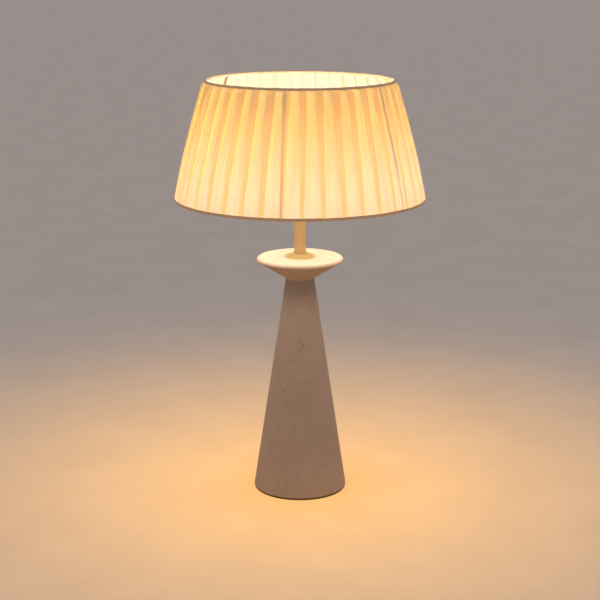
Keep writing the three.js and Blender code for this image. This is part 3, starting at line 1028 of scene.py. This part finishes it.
def makeStem(values, material):
    radius, low, high = reachOf("stem")
    outline = rounded([(values["bore"], low), (radius, low), (radius, high), (values["bore"], high)],
                      values["edge"], 4)
    return place(turned("stem", divided(outline, 4.0), values["segments"], material),
                 "base", "cream_paint", "stem")


def makeSeatPlate(values, material):
    # a low dome with a thin edge, and a narrow shoulder that the stem stands on
    radius, low, high = reachOf("seat_plate")
    shoulder = reachOf("stem")[0] + 1.2
    dome = []
    for k in range(9):
        t = k / 8
        r = radius - 0.2 + (shoulder - radius + 0.2) * t
        dome.append((r, low + 1.2 + (high - low - 1.2) * math.sin(math.pi / 2 * t)))
    outline = [(values["bore"], low), (radius - 0.3, low), (radius, low + 0.35), (radius, low + 0.9)]
    outline += dome + [(values["bore"], high)]
    return place(turned("seatPlate", outline, values["segments"], material, angle=40),
                 "base", "cream_paint", "seat_plate")


creamPaint = paintMaterial("creamPaint", stemSettings["color"], 0.42, flakes=0.15)
makeStem(stemSettings, creamPaint)
# painted light: the plate gets a lighter copy of the stem's cream paint
makeSeatPlate(stemSettings, paintMaterial("plateLitPaint", stemSettings["plateLitColor"], 0.45, flakes=0.1))
print("stem made")


# the lampholder, with its moulded thread, and the ring that clamps the shade
holderSettings = {
    "segments": 96,
    "bore": 5.3,
    "capNeck": 8.2,
    "shellRadius": 19.4,
    "shellInside": 17.1,
    "shellEdge": 0.35,
    "flange": (367.0, 369.0),
    "threadRadius": 19.9,
    "threadDepth": 0.75,
    "threadPitch": 2.5,
    "lugs": 24,
    "lugRadius": 0.85,
    "grip": 24.6,
    "ringBore": 20.2,
    "color": (0.83, 0.78, 0.68),
}


def screwThread(low, high, pitch, depth, beyond=0.0):
    # a rounded thread cut into whatever is turned, between two heights and beyond a radius
    def shift(radius, height, angle):
        if radius <= beyond or not low < height < high:
            return radius, height
        turnShare = ((height - low) / pitch - angle / (2 * math.pi)) % 1.0
        ends = min(1.0, (height - low) / 1.2, (high - height) / 1.2)
        return radius - depth * ends * (0.5 - 0.5 * math.cos(2 * math.pi * turnShare)), height
    return shift


def makeHolderCap(values, material):
    radius, low, high = reachOf("holder_cap")
    neck, shoulder = values["capNeck"], radius * 0.80
    outside = [(neck, low), (neck, low + 2), (shoulder, low + 8.6), (radius, low + 12.5), (radius, high)]
    inside = [(radius - 2.2, high), (radius - 2.2, low + 12.9), (shoulder - 2, low + 10.6),
              (values["bore"], low + 4.2), (values["bore"], low)]
    cap = turned("holderCap", rounded(outside + inside, 1.6, 5), values["segments"], material)
    place(cap, "base", "white_plastic", "holder_cap")


def makeHolderShell(values, material):
    flangeRadius, low, high = reachOf("holder_shell")
    flangeLow, flangeHigh = values["flange"]
    body, thread, edge = values["shellRadius"], values["threadRadius"], values["shellEdge"]
    outside = rounded([(body, low), (body, flangeLow), (flangeRadius, flangeLow + 0.5),
                       (flangeRadius, flangeHigh), (thread, flangeHigh), (thread, high)],
                      edge, 3, closed=False)
    foot, head = flangeHigh + edge + 0.05, high - edge - 0.05
    threadWall = divided([(thread, foot), (thread, head)], 0.3, closed=False)
    inside = [(values["shellInside"], high), (values["shellInside"], low)]
    outline = outside[:-1] + threadWall + [outside[-1]] + inside
    shift = screwThread(flangeHigh + 1.0, high - 0.8, values["threadPitch"], values["threadDepth"],
                        beyond=thread - 0.01)
    shell = turned("holderShell", outline, values["segments"], material, shift=shift)
    place(shell, "base", "white_plastic", "holder_shell")


def makeClampRing(values, material):
    # a broad foot, a plain wall, and lugs set round the wall by Geometry Nodes
    radius, low, high = reachOf("shade_ring")
    grip, bore = values["grip"], values["ringBore"]
    outline = rounded([(bore, low), (radius, low), (radius, low + 2), (grip - 0.5, low + 2),
                       (grip - 0.5, high), (bore, high)], 0.45, 4)
    ring = turned("clampRing", outline, values["segments"], material)
    place(ring, "clamp_ring", "white_plastic", "shade_ring")
    lugFoot, lugHead = low + 1.9, high - 0.6
    path = [(0, -(grip - values["lugRadius"]), lugFoot + (lugHead - lugFoot) * t) for t in (0, 0.12, 0.88, 1)]
    shape = rod("oneLug", path, [k * values["lugRadius"] for k in (1, 1, 1, 0.55)], 10, None)
    lugs = repeated("clampRingLugs", shape, values["lugs"], material)
    place(lugs, "clamp_ring", "white_plastic")


whitePlastic = plasticMaterial("whitePlastic", holderSettings["color"], 0.38)
makeHolderCap(holderSettings, whitePlastic)
makeHolderShell(holderSettings, whitePlastic)
makeClampRing(holderSettings, whitePlastic)
print("lampholder made")


# screw sleeve and bulb
bulbSettings = {
    "segments": 96,
    "capPitch": 3.629,
    "capDepth": 0.85,
    "sleeveWall": 0.35,
    "sleeveDepth": 0.28,
    "wall": 0.9,
    "globe": (30.0, 452.8),
    "neck": [(12.6, 401.2), (12.0, 406.8), (14.4, 410.4), (18.6, 416.8), (24.6, 429.8)],
    "glass": (0.95, 0.90, 0.80),
    "glow": (1.0, 0.86, 0.72),
    "glowStrength": 27.5,
    "brass": (0.72, 0.52, 0.26),
    "nickel": (0.66, 0.64, 0.60),
    "zinc": (0.62, 0.63, 0.65),
}


def metalMaterial(name, color, roughness):
    # fine turning marks round the axis, a little tarnish
    tones = [(0.34, scaled(color, 0.72, 0.66, 0.58)), (0.56, color)]
    return cloudyMaterial(name, (130.0, 4.0, 0.6), tones, (0.25, roughness - 0.12),
                          (500.0, 2.0, 0.6, (0.2, 0.2, 3.0)), (0.2, 0.0001), Metallic=1.0)


def makeSleeve(values, material):
    low, high = boxMm("screw_sleeve")
    radius = high[0]
    outer = radius - 0.06
    inner = outer - values["sleeveWall"]
    heights = [low[2] + (high[2] - low[2]) * k / 60 for k in range(61)]
    outline = [(outer, z) for z in heights] + [(inner, z) for z in heights[::-1]]
    shift = screwThread(low[2] + 1.5, high[2] - 0.5, values["capPitch"], values["sleeveDepth"])
    sleeve = turned("screwSleeve", outline, values["segments"], material, shift=shift, angle=60)
    return place(sleeve, "base", "brass", "screw_sleeve")


def makeBulbCap(values, material):
    radius, low, high = reachOf("bulb_cap")
    heights = divided([(radius - 0.1, low + 1.8), (radius - 0.1, high - 1.6)], 0.28, closed=False)
    outside = [(10.9, low), (radius - 0.9, low + 0.7)] + heights
    outside += [(radius - 0.1, high - 0.5), (radius - 0.6, high)]
    inside = [(radius - 2.0, high), (radius - 2.0, low + 1.6), (10.0, low)]
    shift = screwThread(low + 1.6, high - 2.6, values["capPitch"], values["capDepth"], beyond=radius - 0.2)
    cap = turned("bulbCap", outside + inside, values["segments"], material, shift=shift, angle=50)
    place(cap, "bulb", "nickel", "bulb_cap")


def makeBulbFoot(brass, insulation):
    radius, low, high = reachOf("bulb_contact")
    outline = [(0, low), (radius * 0.5, low + 0.08), (radius * 0.86, low + 0.5), (radius, low + 1.1),
               (radius, high), (0, high)]
    place(turned("bulbContact", outline, 48, brass, closed=False), "bulb_foot", "brass", "bulb_contact")
    wide, low, high = reachOf("bulb_insulator")
    outline = [(0, low), (radius + 0.6, low), (radius + 1.6, low + 0.7), (wide - 1.6, high - 1.4),
               (wide, high - 0.4), (wide, high), (0, high)]
    outline = rounded(outline, 0.5, 3, closed=False)
    place(turned("bulbInsulator", outline, 64, insulation, closed=False), "bulb", "ceramic", "bulb_insulator")


def glassMaterial(values):
    # opal glass, lit from within; a little weaker towards the neck
    material, tree = newMaterial("opalGlass")
    place3d = objectCoordinates(tree)
    swirl = addNoise(tree, place3d, 60.0, 2.0)
    height = separated(tree, place3d)["Z"]
    globeHeight = values["globe"][1] * mm
    up = timesPlus(tree, calculate(tree, "SUBTRACT", height, globeHeight), 18.0, 1.0)
    up = calculate(tree, "MINIMUM", calculate(tree, "MAXIMUM", up, 0.35), 1.0)
    strength = times(tree, up, values["glowStrength"])
    strength = times(tree, strength, timesPlus(tree, swirl, 0.08, 0.96))
    shader = addSurface(tree, values["glass"], None, 0.3, **{
        "Emission Color": (*values["glow"], 1), "Coat Weight": 0.5, "Coat Roughness": 0.08})
    tree.links.new(strength, shader.inputs["Emission Strength"])
    return material


def makeGlass(values, material):
    _, low, high = reachOf("bulb_glass")
    radius, centre = values["globe"]
    outside = [(values["neck"][0][0], low)] + values["neck"][1:]
    joinAngle = math.degrees(math.asin((outside[-1][1] - centre) / radius)) + 6
    outside += arcPoints((0, centre), radius, joinAngle, 90, 30)[:-1] + [(0, centre + radius)]
    smooth = []
    for i, here in enumerate(outside):
        here = np.array(here)
        if 0 < i < 6:
            here = 0.5 * here + 0.25 * (np.array(outside[i - 1]) + np.array(outside[i + 1]))
        smooth.append(tuple(here))
    smooth = divided(smooth, 1.6, closed=False)
    inside = []
    for r, z in smooth:
        away = np.array((r, z - centre)) if z > centre - 15 else np.array((r, 0.0))
        size = max(np.linalg.norm(away), 1e-6)
        inner = np.array((r, z)) - away / size * values["wall"]
        inside.append((max(inner[0], 0.0), inner[1]))
    inside[-1] = (0, high - values["wall"])
    outline = inside[::-1] + smooth
    glass = turned("bulbGlass", outline, values["segments"], material, closed=False, angle=60)
    return place(glass, "bulb", "opal_glass", "bulb_glass")


brassMetal = metalMaterial("brass", bulbSettings["brass"], 0.32)
nickelMetal = metalMaterial("nickel", bulbSettings["nickel"], 0.28)
zincMetal = metalMaterial("zincSteel", bulbSettings["zinc"], 0.42)
ceramicGlaze = plasticMaterial("ceramic", (0.78, 0.75, 0.69), 0.30, 500.0)
blackGlass = plasticMaterial("blackGlass", (0.02, 0.018, 0.022), 0.18, 300.0)
makeSleeve(bulbSettings, brassMetal)
makeBulbCap(bulbSettings, nickelMetal)
makeBulbFoot(brassMetal, blackGlass)
makeGlass(bulbSettings, glassMaterial(bulbSettings))
print("bulb made")


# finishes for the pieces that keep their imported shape
def finishNodes(material, *nodes):
    for node in nodes:
        for holder in bpy.data.objects[node].material_slots:
            holder.material = material


filamentMaterial, filamentTree = newMaterial("filament")
filamentGlow = addSurface(filamentTree, (0.9, 0.62, 0.2), None, 0.5, **{"Emission Strength": 6.0})
filamentRows = addNoise(filamentTree, objectCoordinates(filamentTree), 900.0, 1.0, stretch=(0.1, 0.1, 1.0))
filamentTone = addRamp(filamentTree, filamentRows, [(0.3, (1.0, 0.55, 0.2)), (0.7, (1.0, 0.75, 0.4))])
filamentTree.links.new(filamentTone, filamentGlow.inputs["Emission Color"])

finishNodes(whiteWire, "shade_bottom_ring", "shade_top_ring")
finishNodes(zincMetal, "tie_tube", "base_washer", "base_nut")
finishNodes(brassMetal, "centre_contact", *(f"terminal_screw_{k}" for k in range(1, 5)))
finishNodes(ceramicGlaze, "holder_insert", "bulb_mount")
finishNodes(plasticMaterial("terminalBody", (0.80, 0.77, 0.70), 0.5), "terminal_block")
finishNodes(plasticMaterial("brownLead", (0.16, 0.065, 0.03), 0.5, 1200.0), "live_lead")
finishNodes(plasticMaterial("blueLead", (0.03, 0.10, 0.33), 0.5, 1200.0), "neutral_lead")
finishNodes(filamentMaterial, *(f"bulb_filament_{k}" for k in range(1, 5)))
addSoftLight("lightOnFloor", "POINT", studioSettings["onFloor"], [studioFloor], [cover])
addSoftLight("lightOnBase", "AREA", studioSettings["onBase"], [cement])
print("finishes set")
